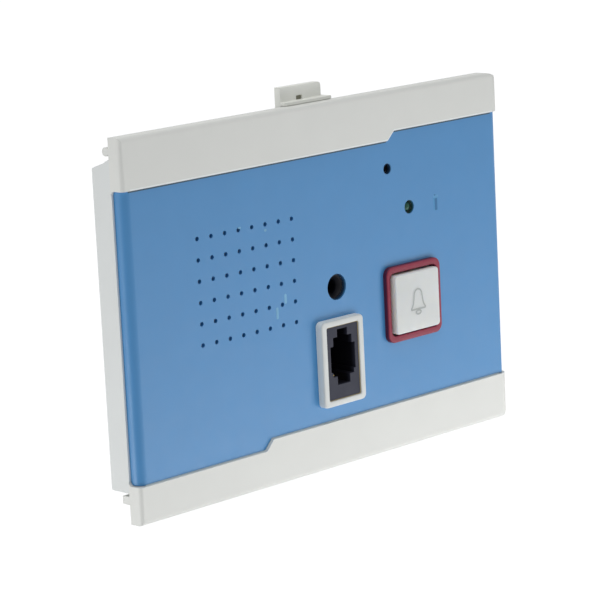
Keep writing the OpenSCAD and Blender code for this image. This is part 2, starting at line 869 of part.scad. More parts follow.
module call_cap() {
    color("white") on_panel() translate([btn_x, 0, btn_z]) {
        difference() {
            union() {
                prism(cap_front + cap_edge, cap_back) round_rect(cap_w, cap_h, cap_r);
                prism(cap_front, cap_front + cap_edge + gap)
                    round_rect(cap_w - cap_edge, cap_h - cap_edge, cap_r - cap_edge / 2);
                block(0, 0, cap_w + 2 * lug_out, cap_lug_h, cap_back - cap_lug_t, cap_back);
            }
            difference() {
                prism(cap_front + cap_t, cap_back + cut)
                    round_rect(cap_w - 2 * cap_skirt_t, cap_h - 2 * cap_skirt_t, cap_r / 2);
                post(0, 0, stem_r, cap_front, switch_front - plunger_out);
            }
        }
    }
}

module button_switch() {
    color("dimgray") on_panel() translate([btn_x, 0, btn_z]) {
        difference() {
            block(0, 0, switch_w, switch_w, switch_front, board_front);
            post(0, 0, plunger_r + clear, switch_front - cut,
                 switch_front + plunger_in + btn_travel + slip);
        }
        for (sx = [-1, 1], sz = [-1, 1])
            post(sx * switch_pin_x, sz * switch_pin_z, switch_pin_r,
                 board_front - gap, board_back + switch_pin_l);
    }
}

module switch_plunger() {
    color("black") on_panel()
        post(btn_x, btn_z, plunger_r, switch_front - plunger_out, switch_front + plunger_in);
}

// Sockets

module handset_bezel() {
    color("white") on_panel() translate([socket_x, 0, socket_z]) difference() {
        union() {
            prism(socket_front, blue_y) round_rect(socket_w, socket_h, socket_r);
            prism(blue_y - gap, inner_y)
                round_rect(socket_in_w + 2 * socket_collar_t, socket_in_h + 2 * socket_collar_t,
                           socket_r - gap);
        }
        prism(socket_front - cut, inner_y + cut) round_rect(socket_in_w, socket_in_h, socket_in_r);
    }
}

// The stepped mouth that a modular plug and its latch need
module plug_mouth(depth) {
    back = socket_face + depth;
    block(socket_x, plug_top - (plug_h - plug_foot_h) / 2, plug_w, plug_h - plug_foot_h,
          socket_face - cut, back);
    block(socket_x, plug_top - plug_h / 2, plug_w - 2 * plug_foot_in, plug_h,
          socket_face - cut, back);
    block(socket_x, plug_top + latch_steps[0][1] / 2 - gap, latch_steps[0][0],
          latch_steps[0][1] + 2 * gap, socket_face - cut, back);
    block(socket_x, plug_top + latch_steps[0][1] + latch_steps[1][1] / 2, latch_steps[1][0],
          latch_steps[1][1], socket_face - cut, back);
    block(socket_x, plug_top - plug_h - contact_notch_h / 2 + gap, contact_notch_w,
          contact_notch_h + 2 * gap, socket_face - cut, back);
}

module handset_socket() {
    color("black") on_panel() difference() {
        union() {
            translate([socket_x, 0, socket_z]) prism(socket_face, socket_back)
                round_rect(socket_in_w - slip, socket_in_h - slip, socket_in_r);
            block(socket_x, socket_z, socket_in_w + 2 * socket_shoulder,
                  socket_in_h + 2 * socket_shoulder, inner_y, inner_y + shoulder_t);
        }
        plug_mouth(plug_depth);
        for (i = [0 : contact_count - 1])
            block(contact_x(i), contact_z + contact_rise / 2, contact_slot, 2 * contact_rise,
                  socket_face + plug_depth - gap, socket_back + cut);
    }
}

function contact_x(i) = socket_x + (i - (contact_count - 1) / 2) * contact_pitch;

// One spring contact: it rises from the mouth's lower step and leaves at the back
module contact(i) {
    x = contact_x(i);
    low = plug_top - plug_h - contact_notch_h;
    wire([[x, contact_front, low],
          [x, contact_front, low + contact_notch_h / 2],
          [x, (contact_front + socket_face + plug_depth) / 2, contact_z + contact_rise],
          [x, socket_face + plug_depth - contact_rise, contact_z],
          [x, socket_back + contact_rise, contact_z]], contact_r);
}

module handset_contacts() {
    color("gold") on_panel() for (i = [0 : contact_count - 1]) contact(i);
}

module audio_jack() {
    color("black") on_panel() difference() {
        union() {
            post(audio_x, audio_z, audio_barrel_d / 2, audio_front, inner_y + gap);
            block(audio_x, audio_z, audio_w, audio_h, inner_y, audio_back);
            block(audio_x, audio_z, audio_w + 2 * socket_shoulder, audio_h + 2 * socket_shoulder,
                  inner_y, inner_y + shoulder_t);
        }
        post(audio_x, audio_z, audio_bore_d / 2, audio_front - cut, audio_back - audio_wall);
        translate([audio_x, audio_front, audio_z]) rotate([-90, 0, 0])
            cylinder(r1 = audio_barrel_d / 2 - audio_lip, r2 = audio_bore_d / 2, h = audio_cone_d);
    }
}

module audio_contacts() {
    color("silver") on_panel()
        for (s = [-1, 0, 1])
            block(audio_x + s * blade_x, blade_z(s), blade_w, blade_t, audio_back, audio_back + blade_l);
}

module jack_bracket() {
    color("lightgray") on_panel() difference() {
        union() {
            block((bracket_x1 + bracket_x2) / 2, (bracket_z1 + bracket_z2) / 2,
                  bracket_x2 - bracket_x1, bracket_z2 - bracket_z1,
                  bracket_front, bracket_front + bracket_t);
            post(bracket_screw_spots[2][0], bracket_screw_spots[2][1], bracket_boss_r,
                 bracket_front, bracket_front + bracket_t);
        }
        block(socket_x, socket_z, socket_in_w + slip, socket_in_h + slip,
              bracket_front - cut, bracket_front + bracket_t + cut);
        block(audio_x, audio_z, audio_w + 2 * slip, audio_h + 2 * slip,
              bracket_front - cut, bracket_front + bracket_t + cut);
        for (p = bracket_screw_spots)
            post(p[0], p[1], board_hole_r, bracket_front - cut, bracket_front + bracket_t + cut);
    }
}

// Fasteners

// A small pan-head screw that points to the front, with a cross recess
module pan_screw(x, z, head_y, head_r, head_t, tip_y) {
    difference() {
        union() {
            post(x, z, head_r, head_y, head_y + head_t);
            post(x, z, screw_r, tip_y, head_y + gap);
        }
        for (a = [0, 90])
            translate([x, head_y + head_t, z]) rotate([0, a, 0])
                cube([head_r, head_t, head_r / 4], center = true);
    }
}

module bracket_screws() {
    color("silver") on_panel() for (p = bracket_screw_spots)
        pan_screw(p[0], p[1], bracket_front + bracket_t, board_head_r, board_head_t,
                  core_y + wall_t);
}

module board_screws() {
    color("silver") on_panel() for (p = board_screw_spots)
        pan_screw(p[0], p[1], board_back, board_head_r, board_head_t, core_y + wall_t);
}

module clamp_screws() {
    color("silver") on_panel() for (a = clamp_angles)
        pan_screw(spk_x + clamp_r * cos(a), spk_z + clamp_r * sin(a),
                  spk_front + spk_flange_t + clamp_t, clamp_head_r, clamp_head_t, core_y + wall_t);
}

// Lamp and microphone

module status_led() {
    color("seagreen") on_panel() {
        post(led_x, led_z, led_d / 2, led_top + led_d / 2, board_front);
        translate([led_x, led_top + led_d / 2, led_z]) sphere(r = led_d / 2);
        post(led_x, led_z, led_flange_r, board_front - led_flange_t, board_front);
        for (s = [-1, 1])
            post(led_x + s * led_lead_x, led_z, led_lead_r, board_front - gap,
                 board_back + switch_pin_l);
    }
}

module mic_capsule() {
    color("silver") on_panel() difference() {
        post(mic_x, mic_z, mic_r, mic_front, mic_front + mic_t);
        post(mic_x, mic_z, mic_hole_d / 2, mic_front - cut, mic_front + mic_t / 4);
    }
}

module mic_boot() {
    color("black") on_panel() difference() {
        post(mic_x, mic_z, mic_r + mic_boot_t, core_y, board_front);
        post(mic_x, mic_z, mic_r, mic_front, board_front + cut);
        post(mic_x, mic_z, mic_hole_d / 2, core_y - cut, board_front);
    }
}

// Speaker

// Turns a profile of radius and depth into a round piece about the speaker's axis
module spk_turn() {
    on_panel() translate([spk_x, 0, spk_z]) rotate([-90, 0, 0]) rotate_extrude() children();
}

module speaker_gasket() {
    color("dimgray") spk_turn()
        translate([spk_d / 2 - gasket_w, inner_y]) square([gasket_w, gasket_t]);
}

module speaker_frame() {
    r = spk_d / 2;
    color("silver") spk_turn() polygon([
        [spk_basket_r - spk_basket_t, spk_front],
        [r, spk_front],
        [r, spk_front + spk_flange_t],
        [spk_basket_r, spk_front + spk_flange_t],
        [spk_basket_r, spk_basket_back],
        [magnet_r, spk_basket_back],
        [magnet_r, spk_basket_back - spk_floor_t],
        [spk_basket_r - spk_basket_t, spk_basket_back - spk_floor_t]]);
    color("tan") on_panel()
        block(spk_x + tab_terminal_x, spk_z, tab_terminal_w, tab_terminal_h,
              spk_basket_back - gap, spk_basket_back + tab_terminal_t);
}

module speaker_cone() {
    r = spk_basket_r - spk_basket_t;
    color("black") spk_turn() polygon([
        [0, spk_front + 3 * cone_t],
        [magnet_r / 2, spk_front + 4 * cone_t],
        [r - cone_edge_w, spk_front + 2 * cone_t],
        [r - cone_edge_w / 2, spk_front + cone_t],
        [r, spk_front + 2 * cone_t],
        [r, spk_front + 3 * cone_t],
        [r - cone_edge_w / 2, spk_front + 2 * cone_t],
        [r - cone_edge_w, spk_front + 3 * cone_t],
        [magnet_r / 2, spk_front + 5 * cone_t],
        [0, spk_front + 4 * cone_t]]);
}

module speaker_magnet() {
    color("gray") spk_turn() polygon([
        [0, spk_basket_back - spk_floor_t],
        [pole_r, spk_basket_back - spk_floor_t],
        [magnet_r, spk_basket_back - spk_floor_t],
        [magnet_r, magnet_back - cone_t],
        [magnet_r - cone_t, magnet_back],
        [0, magnet_back]]);
}

module speaker_clamps() {
    color("silver") on_panel() for (a = clamp_angles)
        translate([spk_x, 0, spk_z]) rotate([0, -a, 0]) difference() {
            block(clamp_r - clamp_in / 2 + clamp_boss_r / 2, 0,
                  clamp_in + clamp_boss_r + clamp_head_r, clamp_w,
                  spk_front + spk_flange_t, spk_front + spk_flange_t + clamp_t);
            post(clamp_r, 0, board_hole_r, spk_front, spk_front + spk_flange_t + clamp_t + cut);
        }
}

// Board

module main_board() {
    color("darkgreen") on_panel() difference() {
        block((board_x1 + board_x2) / 2, 0, board_x2 - board_x1, 2 * board_z,
              board_front, board_back);
        for (s = [-1, 1])
            block((board_x1 + board_cut_x) / 2 - cut, s * (board_z + board_cut_z + cut) / 2,
                  board_cut_x - board_x1 + 2 * cut, board_z - board_cut_z + cut,
                  board_front - cut, board_back + cut);
        for (p = board_screw_spots)
            post(p[0], p[1], board_hole_r, board_front - cut, board_back + cut);
        for (sx = [-1, 1], sz = [-1, 1])
            post(btn_x + sx * switch_pin_x, btn_z + sz * switch_pin_z, switch_pin_r + gap,
                 board_front - cut, board_back + cut);
        for (s = [-1, 1])
            post(led_x + s * led_lead_x, led_z, led_lead_r + gap,
                 board_front - cut, board_back + cut);
    }
}

module board_chips() {
    color("black") on_panel() for (c = chip_spots)
        block(c[0], c[1], c[2], c[3], board_back, board_back + c[4]);
}

module capacitors() {
    color("slategray") on_panel() for (p = cap_spots) {
        block(p[0], p[1], can_foot_w, can_foot_w, board_back, board_back + can_foot_t);
        post(p[0], p[1], can_r, board_back + can_foot_t - gap, board_back + can_h);
    }
}

module speech_transformer() {
    color("goldenrod") on_panel() {
        for (s = [-1, 1])
            block(coil_x + s * (coil_core_w - coil_core_t) / 2, coil_z, coil_core_t, coil_core_h,
                  board_back, board_back + coil_h);
        block(coil_x, coil_z, coil_core_w - coil_core_t, coil_core_h - coil_core_t,
              board_back, board_back + coil_core_t);
        block(coil_x, coil_z, coil_core_w - coil_core_t, coil_core_h - coil_core_t,
              board_back + coil_h - coil_core_t, board_back + coil_h);
        block(coil_x, coil_z, coil_bobbin_w - coil_core_t, coil_wind_w,
              board_back + coil_core_t - gap, board_back + coil_h - coil_core_t + gap);
    }
}

module board_connectors() {
    color("ivory") on_panel() for (h = header_spots) difference() {
        block(h[0], h[1], header_w, (h[2] + 1) * header_pitch, board_back, board_back + header_h);
        block(h[0], h[1], header_w / 2, h[2] * header_pitch,
              board_back + header_h / 2, board_back + header_h + cut);
    }
}

// Field wiring

module terminal_block() {
    back = pocket_d - floor_t;
    color("seagreen") translate([term_x, 0, term_z]) difference() {
        block(0, 0, term_ways * term_pitch, term_w, back - term_h, back);
        for (i = [0 : term_ways - 1]) {
            x = (i - (term_ways - 1) / 2) * term_pitch;
            post(x, 0, term_well_r, back - term_h - cut, back - term_h + term_well_d);
            translate([x, back - term_h / 3, 0]) cylinder(r = term_port_r, h = term_w);
        }
    }
}

module terminal_screws() {
    front = pocket_d - floor_t - term_h + term_well_d - term_screw_t;
    color("silver") translate([term_x, 0, term_z]) for (i = [0 : term_ways - 1]) {
        x = (i - (term_ways - 1) / 2) * term_pitch;
        difference() {
            post(x, 0, term_screw_r, front, front + term_screw_t);
            block(x, 0, 2 * term_screw_r + cut, term_slot_w, front - cut, front + term_slot_d);
        }
    }
}

module cable_grommet() {
    front = pocket_d - floor_t - grommet_flange_t;
    r = grommet_hole_r + grommet_flange;
    color("black") translate([grommet_x, 0, grommet_z]) rotate([-90, 0, 0]) rotate_extrude()
        polygon([
            [grommet_bore_r, front],
            [r, front],
            [r, front + grommet_flange_t],
            [grommet_hole_r, front + grommet_flange_t],
            [grommet_hole_r, pocket_d],
            [r, pocket_d],
            [r, pocket_d + grommet_flange_t],
            [grommet_bore_r, pocket_d + grommet_flange_t]]);
}

module rating_label() {
    color("silver") block(label_x, term_z, label_w, label_h, pocket_d, pocket_d + label_t);
}

// Wires, held at both ends

module speaker_wires() {
    start = [spk_x + tab_terminal_x, spk_basket_back + tab_terminal_t, spk_z];
    stop = [header_spots[0][0], header_floor, header_spots[0][1]];
    color("crimson") on_panel() for (s = [-1, 1])
        wire([start + [0, 0, s * wire_step],
              [start[0], spk_lead_front, spk_z + s * wire_step],
              [spk_lead_x, spk_lead_front, spk_z + s * wire_step],
              [spk_lead_x, spk_lead_y, spk_lead_z + s * wire_step],
              [audio_x, spk_lead_y, spk_lead_z + s * wire_step],
              [stop[0], spk_lead_y, stop[2] + s * header_pitch / 2],
              stop + [0, 0, s * header_pitch / 2]], wire_r);
}

module handset_wires() {
    stop = [header_spots[1][0], header_floor, header_spots[1][1]];
    color("gold") on_panel() for (i = [0 : contact_count - 1]) {
        s = i - (contact_count - 1) / 2;
        wire([[contact_x(i), socket_back + contact_rise, contact_z],
              [socket_x + s * wire_step, socket_back + 3 * contact_rise, contact_z],
              [socket_x + socket_in_w / 2 + header_w, under_term_y, stop[2] - s * header_pitch],
              [stop[0], under_term_y, stop[2] - s * header_pitch],
              stop - [0, 0, s * header_pitch]], fine_r);
    }
}

module audio_wires() {
    x2 = header_spots[0][0] + header_w;
    color("white") on_panel() for (s = [-1, 0, 1]) {
        start = [audio_x + s * blade_x, audio_back + blade_l, blade_z(s)];
        wire([start,
              start + [0, (2 - s) * wire_step, 0],
              [audio_x + audio_w / 2 + wire_step, start[1] + (2 - s) * wire_step, start[2]],
              [x2, audio_back - (1 + s) * wire_step, header_spots[0][1] + s * wire_step],
              [x2, board_back, header_spots[0][1] + s * wire_step]], fine_r);
    }
}

module line_wires() {
    y = pocket_d - floor_t - term_h / 3;
    stop = [panel_x + header_spots[2][0], header_floor, header_spots[2][1]];
    color("royalblue") for (i = [0 : term_ways - 1]) {
        s = i - (term_ways - 1) / 2;
        wire([[term_x + s * term_pitch, y, term_z],
              [term_x + s * term_pitch, y, term_z + term_w],
              [stop[0], y - (term_ways / 2 - s) * wire_step, stop[2] + s * header_pitch],
              stop + [0, 0, s * header_pitch]], wire_r);
    }
}

front_housing();
blue_fascia();
rear_base();
release_latch();
latch_spring();
call_bezel();
call_cap();
button_switch();
switch_plunger();
handset_bezel();
handset_socket();
handset_contacts();
audio_jack();
audio_contacts();
jack_bracket();
bracket_screws();
status_led();
mic_capsule();
mic_boot();
speaker_frame();
speaker_cone();
speaker_magnet();
speaker_gasket();
speaker_clamps();
clamp_screws();
main_board();
board_screws();
board_chips();
capacitors();
speech_transformer();
board_connectors();
terminal_block();
terminal_screws();
cable_grommet();
rating_label();
speaker_wires();
handset_wires();
audio_wires();
line_wires();
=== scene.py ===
"""Looks of the nurse call substation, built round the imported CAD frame. Metres, Y into the wall."""

import json
from math import cos, pi, radians, sin, tau

import bmesh
import bpy
from mathutils import Matrix, Vector


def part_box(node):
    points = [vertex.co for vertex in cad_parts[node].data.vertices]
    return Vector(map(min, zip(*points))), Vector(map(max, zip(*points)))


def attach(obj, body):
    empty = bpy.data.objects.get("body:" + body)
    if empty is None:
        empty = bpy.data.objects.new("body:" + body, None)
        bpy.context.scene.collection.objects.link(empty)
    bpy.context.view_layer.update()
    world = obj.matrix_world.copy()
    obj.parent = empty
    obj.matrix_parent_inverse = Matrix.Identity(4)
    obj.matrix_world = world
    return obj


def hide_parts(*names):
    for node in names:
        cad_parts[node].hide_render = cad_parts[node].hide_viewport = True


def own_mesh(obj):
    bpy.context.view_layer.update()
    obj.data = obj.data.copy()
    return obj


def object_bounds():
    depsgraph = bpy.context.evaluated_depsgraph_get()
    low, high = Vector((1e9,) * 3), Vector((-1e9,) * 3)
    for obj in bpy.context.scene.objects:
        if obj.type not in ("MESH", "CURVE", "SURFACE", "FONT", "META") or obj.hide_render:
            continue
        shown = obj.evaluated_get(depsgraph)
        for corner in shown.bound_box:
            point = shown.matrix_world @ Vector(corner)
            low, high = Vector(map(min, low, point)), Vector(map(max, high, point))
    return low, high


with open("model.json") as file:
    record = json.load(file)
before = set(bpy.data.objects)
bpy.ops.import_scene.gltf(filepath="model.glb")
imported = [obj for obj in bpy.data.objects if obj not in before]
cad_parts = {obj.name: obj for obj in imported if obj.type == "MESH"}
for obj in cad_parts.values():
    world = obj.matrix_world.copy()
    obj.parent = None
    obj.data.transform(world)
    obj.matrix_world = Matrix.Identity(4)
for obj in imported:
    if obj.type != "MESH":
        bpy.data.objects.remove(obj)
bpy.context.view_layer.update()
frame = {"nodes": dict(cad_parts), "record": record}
NODES = frame["nodes"]
MM = 0.001
IMAGE_PX = 600

# The photograph's view: distance from an aim point on the blue face, and a roll
VIEW_AZIMUTH = 44.64
VIEW_ELEVATION = 11.24
VIEW_ROLL = 2.84
VIEW_DISTANCE = 677.2 * MM
AIM_FROM_MIDDLE = Vector((-9.62, 0, -1.46)) * MM
FOCAL_PX = 2841.6
SENSOR_MM = 36.0
CLIP_NEAR = 0.05
CLIP_FAR = 20


def link(obj):
    bpy.context.scene.collection.objects.link(obj)
    return obj


def box_mm(node):
    """A node's lowest and highest corners, in mm."""
    return [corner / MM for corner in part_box(node)]


def middle(node):
    """The middle of a node as seen from the front, (x, z) in mm."""
    lo, hi = box_mm(node)
    return (lo.x + hi.x) / 2, (lo.z + hi.z) / 2


def make_camera():
    lo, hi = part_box("front_housing")
    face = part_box("blue_fascia")[0].y
    aim = Vector(((lo.x + hi.x) / 2, face, 0)) + AIM_FROM_MIDDLE
    az, el = radians(VIEW_AZIMUTH), radians(VIEW_ELEVATION)
    forward = Vector((sin(az) * cos(el), cos(az) * cos(el), -sin(el)))
    data = bpy.data.cameras.new("camera")
    data.sensor_width = SENSOR_MM
    data.lens = FOCAL_PX / IMAGE_PX * SENSOR_MM
    data.clip_start, data.clip_end = CLIP_NEAR, CLIP_FAR
    cam = link(bpy.data.objects.new("camera", data))
    cam.rotation_mode = "QUATERNION"
    roll = Matrix.Rotation(radians(-VIEW_ROLL), 3, "Z")
    cam.rotation_quaternion = (forward.to_track_quat("-Z", "Y").to_matrix() @ roll).to_quaternion()
    cam.location = aim - forward * VIEW_DISTANCE
    bpy.context.scene.camera = cam


# Materials. Every pattern lies in the object's own space, in metres.

# The part of a noise's 0..1 where nearly all of it lies
NOISE_LOW = 0.3
NOISE_HIGH = 0.7


def shader(name):
    """A new node material, its tree and its Principled shader."""
    m = bpy.data.materials.new(name)
    m.use_nodes = True
    return m, m.node_tree, m.node_tree.nodes["Principled BSDF"]


def place(tree):
    return tree.nodes.new("ShaderNodeTexCoord").outputs["Object"]


def noise(tree, size_mm, detail, stretch=(1, 1, 1)):
    """Noise with features of about size_mm."""
    scale = tree.nodes.new("ShaderNodeMapping")
    scale.inputs["Scale"].default_value = stretch
    tex = tree.nodes.new("ShaderNodeTexNoise")
    tex.inputs["Scale"].default_value = 1 / (size_mm * MM)
    tex.inputs["Detail"].default_value = detail
    tree.links.new(place(tree), scale.inputs["Vector"])
    tree.links.new(scale.outputs["Vector"], tex.inputs["Vector"])
    return tex.outputs["Fac"]


def axis(tree, name):
    """One coordinate of the point, in metres."""
    node = tree.nodes.new("ShaderNodeSeparateXYZ")
    tree.links.new(place(tree), node.inputs["Vector"])
    return node.outputs[name]


def two_tone(tree, source, dark, light):
    """A colour that goes from dark to light with a noise."""
    node = tree.nodes.new("ShaderNodeValToRGB")
    for stop, at, colour in zip(node.color_ramp.elements, (NOISE_LOW, NOISE_HIGH), (dark, light)):
        stop.position = at
        stop.color = (*colour, 1)
    tree.links.new(source, node.inputs["Fac"])
    return node.outputs["Color"]


def spread(tree, source, low, high, out_low=0.0, out_high=1.0):
    """Maps source from low..high to out_low..out_high."""
    node = tree.nodes.new("ShaderNodeMapRange")
    values = (low, high, out_low, out_high)
    for socket, value in zip(("From Min", "From Max", "To Min", "To Max"), values):
        node.inputs[socket].default_value = value
    tree.links.new(source, node.inputs["Value"])
    return node.outputs["Result"]


def blend(tree, factor, first, second):
    """Mixes a colour socket with a plain colour."""
    node = tree.nodes.new("ShaderNodeMix")
    node.data_type = "RGBA"
    tree.links.new(factor, node.inputs["Factor"])
    colours = {s.name: s for s in node.inputs if s.type == "RGBA"}
    tree.links.new(first, colours["A"])
    colours["B"].default_value = (*second, 1)
    return [s for s in node.outputs if s.type == "RGBA"][0]


def bump(tree, bsdf, source, height_mm):
    node = tree.nodes.new("ShaderNodeBump")
    node.inputs["Distance"].default_value = height_mm * MM
    tree.links.new(source, node.inputs["Height"])
    tree.links.new(node.outputs["Normal"], bsdf.inputs["Normal"])


def shade(colour, factor):
    return tuple(min(1.0, c * factor) for c in colour)


# Size in mm and detail of the clouds in a moulding's colour and in its gloss
CLOUD = (9, 4)
UNEVEN_GLOSS = (3, 5)
GRAIN_DETAIL = 2
GLOSSIER = 0.04
DULLER = 0.05
GLOW_RADIUS = (1.0, 0.9, 0.75)
GLOW_SCALE = 2 * MM
COAT_ROUGHNESS = 0.1


def moulded(
    name, colour, roughness, mottle=0.03, grain_mm=0.35, grain_height=0.004,
    coat=0.0, shine=0.3, deep=None, glow=0.0,
):
    """Moulded plastic: faint mottling, uneven gloss and a fine spark-eroded grain.

    The colour that goes with depth is (colour, front, back): painted light on some mouldings and painted
    shade on others, over their sides and hollows; the colour at depth back, in mm, is blended from depth
    front.
    glow is the share of the light that scatters under a translucent skin."""
    m, tree, bsdf = shader(name)
    cloud = noise(tree, *CLOUD)
    base = two_tone(tree, cloud, shade(colour, 1 - mottle), shade(colour, 1 + mottle))
    # Painted light and shade: the colour changes with depth along Y over the sides and hollows
    if deep:
        inner, front, back = deep
        base = blend(tree, spread(tree, axis(tree, "Y"), front * MM, back * MM), base, inner)
    tree.links.new(base, bsdf.inputs["Base Color"])
    gloss = noise(tree, *UNEVEN_GLOSS)
    rough = spread(tree, gloss, NOISE_LOW, NOISE_HIGH, roughness - GLOSSIER, roughness + DULLER)
    tree.links.new(rough, bsdf.inputs["Roughness"])
    bump(tree, bsdf, noise(tree, grain_mm, GRAIN_DETAIL), grain_height)
    bsdf.inputs["Specular IOR Level"].default_value = shine
    bsdf.inputs["Subsurface Weight"].default_value = glow
    bsdf.inputs["Subsurface Radius"].default_value = GLOW_RADIUS
    bsdf.inputs["Subsurface Scale"].default_value = GLOW_SCALE
    bsdf.inputs["Coat Weight"].default_value = coat
    bsdf.inputs["Coat Roughness"].default_value = COAT_ROUGHNESS
    return m


# Streaks in a metal: size in mm and detail, height in mm, and the darkest share of the colour
STREAK = (0.6, 4)
STREAK_HEIGHT = 0.003
STREAK_DARK = 0.85
STREAK_GLOSSIER = 0.06
STREAK_DULLER = 0.08


def metal(name, colour, roughness, brush):
    """Bare metal; brush shortens the streaks along X, Y and Z."""
    m, tree, bsdf = shader(name)
    bsdf.inputs["Metallic"].default_value = 1
    streak = noise(tree, *STREAK, brush)
    base = two_tone(tree, streak, shade(colour, STREAK_DARK), colour)
    tree.links.new(base, bsdf.inputs["Base Color"])
    low, high = roughness - STREAK_GLOSSIER, roughness + STREAK_DULLER
    tree.links.new(spread(tree, streak, NOISE_LOW, NOISE_HIGH, low, high), bsdf.inputs["Roughness"])
    bump(tree, bsdf, streak, STREAK_HEIGHT)
    return m


WHITE = (0.80, 0.805, 0.772)
BLUE = (0.065, 0.257, 0.541)
BLUE_DARK = shade(BLUE, 0.68)
RED = (0.25, 0.017, 0.046)
CAP = (0.76, 0.78, 0.765)

# Name, colour and roughness, then what differs from a common moulding
MOULDED = (
    ("white_shell", WHITE, 0.5, {"mottle": 0.01}),
    ("rear_white", (0.78, 0.80, 0.79), 0.52, {"mottle": 0.012}),
    ("latch_white", (0.88, 0.885, 0.83), 0.45, {}),
    ("blue_fascia", BLUE, 0.38, {"mottle": 0.015, "grain_height": 0.0012, "shine": 0.5}),
    # Painted shade: the red rim's sides turn dark purple behind its front face
    ("call_red", RED, 0.4, {
        "mottle": 0.05, "grain_height": 0.001, "coat": 0.05, "deep": ((0.1, 0.01, 0.035), -10.6, -10.3),
    }),
    # Painted light: the cap's sides turn pale cream behind its front, where the rim shades them
    ("cap_white", CAP, 0.45, {
        "grain_height": 0.002, "deep": ((0.98, 0.94, 0.86), -11.62, -11.4), "glow": 0.7,
    }),
    # Painted light and a painted warm reflection: the handset rim's shaded inner wall turns paler and
    # warmer behind its front
    ("bezel_white", (0.73, 0.75, 0.735), 0.42, {
        "grain_height": 0.002, "deep": ((1.0, 0.98, 0.9), -11.15, -10.9),
    }),
    # Painted shade: the socket turns darker deeper into its mouth
    ("socket_black", (0.03, 0.032, 0.05), 0.5, {
        "mottle": 0.1, "shine": 0.2, "deep": ((0.004, 0.004, 0.007), -10.9, -9.6),
    }),
    ("lamp_green", (0.01, 0.08, 0.05), 0.26, {"mottle": 0.15, "shine": 0.25}),
    # Inside
    ("switch_plastic", (0.03, 0.03, 0.035), 0.45, {}),
    ("chip_black", (0.025, 0.025, 0.028), 0.55, {"mottle": 0.1}),
    ("soft_black", (0.02, 0.02, 0.022), 0.75, {"mottle": 0.1}),
    ("foam_gray", (0.06, 0.06, 0.06), 0.95, {"grain_mm": 0.5, "grain_height": 0.1}),
    ("cone_paper", (0.03, 0.027, 0.024), 0.9, {"grain_mm": 0.4, "grain_height": 0.03}),
    ("board_green", (0.02, 0.15, 0.07), 0.35, {"mottle": 0.08}),
    ("coil_yellow", (0.55, 0.38, 0.06), 0.45, {"mottle": 0.08}),
    ("header_ivory", (0.72, 0.68, 0.56), 0.5, {}),
    ("terminal_green", (0.05, 0.26, 0.11), 0.45, {}),
    ("wire_red", (0.5, 0.03, 0.03), 0.4, {}),
    ("wire_yellow", (0.65, 0.48, 0.05), 0.4, {}),
    ("wire_white", (0.75, 0.75, 0.72), 0.4, {}),
    ("wire_blue", (0.05, 0.12, 0.45), 0.4, {}),
    # Only on pieces built here
    ("mark_gray", (0.48, 0.5, 0.49), 0.6, {}),
    ("mark_blue", BLUE_DARK, 0.5, {}),
    ("mark_pale", (0.12, 0.34, 0.60), 0.5, {}),
    ("mark_soft", (0.085, 0.295, 0.56), 0.5, {}),
    # Pale as wear and as a painted glint
    ("scuff", (0.2, 0.43, 0.63), 0.6, {"mottle": 0.3}),
    # Painted shade on the walls of the round holes
    ("liner_navy", (0.014, 0.04, 0.085), 0.5, {"shine": 0.2}),
    # Painted shade on the lamp hole's wall
    ("liner_green", (0.02, 0.07, 0.07), 0.4, {}),
    # Painted shadow along the top joint
    ("seam_dark", (0.07, 0.12, 0.16), 0.7, {}),
    # Painted light over the shade in the bottom joint
    ("seam_gray", (0.52, 0.62, 0.66), 0.7, {}),
    # Painted shade in the latch's slot
    ("slot_brown", (0.25, 0.245, 0.19), 0.7, {}),
    # Painted highlight on the white strip's lower edge
    ("lip_white", (0.93, 0.95, 0.94), 0.4, {"mottle": 0.01}),
    # Painted shade of the handset rim's inner wall, warmed as a painted reflection
    ("seal_tan", (0.36, 0.29, 0.15), 0.6, {}),
    ("felt", (0.012, 0.014, 0.02), 0.95, {"mottle": 0.3, "grain_mm": 0.15, "grain_height": 0.05}),
)
METALS = (
    ("steel", (0.60, 0.61, 0.62), 0.32, (1, 1, 1)),
    ("can_aluminium", (0.75, 0.76, 0.78), 0.3, (1, 8, 1)),
    ("contact_gold", (0.7, 0.5, 0.2), 0.35, (1, 1, 1)),
    ("label_silver", (0.66, 0.67, 0.68), 0.4, (12, 1, 1)),
)


def make_materials():
    mats = {row[0]: moulded(*row[:3], **row[3]) for row in MOULDED}
    mats.update({row[0]: metal(*row) for row in METALS})
    return mats


# CAD nodes that stay: fine edge radii over the moulded shapes

SOFT_EDGES_MM = {
    "front_housing": 0.15, "rear_base": 0.3, "release_latch": 0.25, "handset_socket": 0.1,
    "audio_jack": 0.12, "terminal_block": 0.2, "jack_bracket": 0.1,
}
WELD_MM = 0.002
FLAT_TURN = radians(1)
EDGE_TURN = radians(32)
EDGE_SEGMENTS = 2


def dress_nodes(mats):
    slots = {s["node"]: s["material_slot"] for s in frame["record"]["subparts"]}
    for name, obj in NODES.items():
        obj.data.materials.clear()
        obj.data.materials.append(mats[slots[name]])
        if name in SOFT_EDGES_MM:
            weld = obj.modifiers.new("weld", "WELD")
            weld.merge_threshold = WELD_MM * MM
            flat = obj.modifiers.new("one_face_per_plane", "DECIMATE")
            flat.decimate_type = "DISSOLVE"
            flat.angle_limit = FLAT_TURN
            soft = obj.modifiers.new("soft_edges", "BEVEL")
            soft.width = SOFT_EDGES_MM[name] * MM
            soft.segments = EDGE_SEGMENTS
            soft.limit_method = "ANGLE"
            soft.angle_limit = EDGE_TURN
            soft.miter_outer = "MITER_ARC"
            soft.use_clamp_overlap = True
            even = obj.modifiers.new("even_normals", "WEIGHTED_NORMAL")
            even.keep_sharp = True


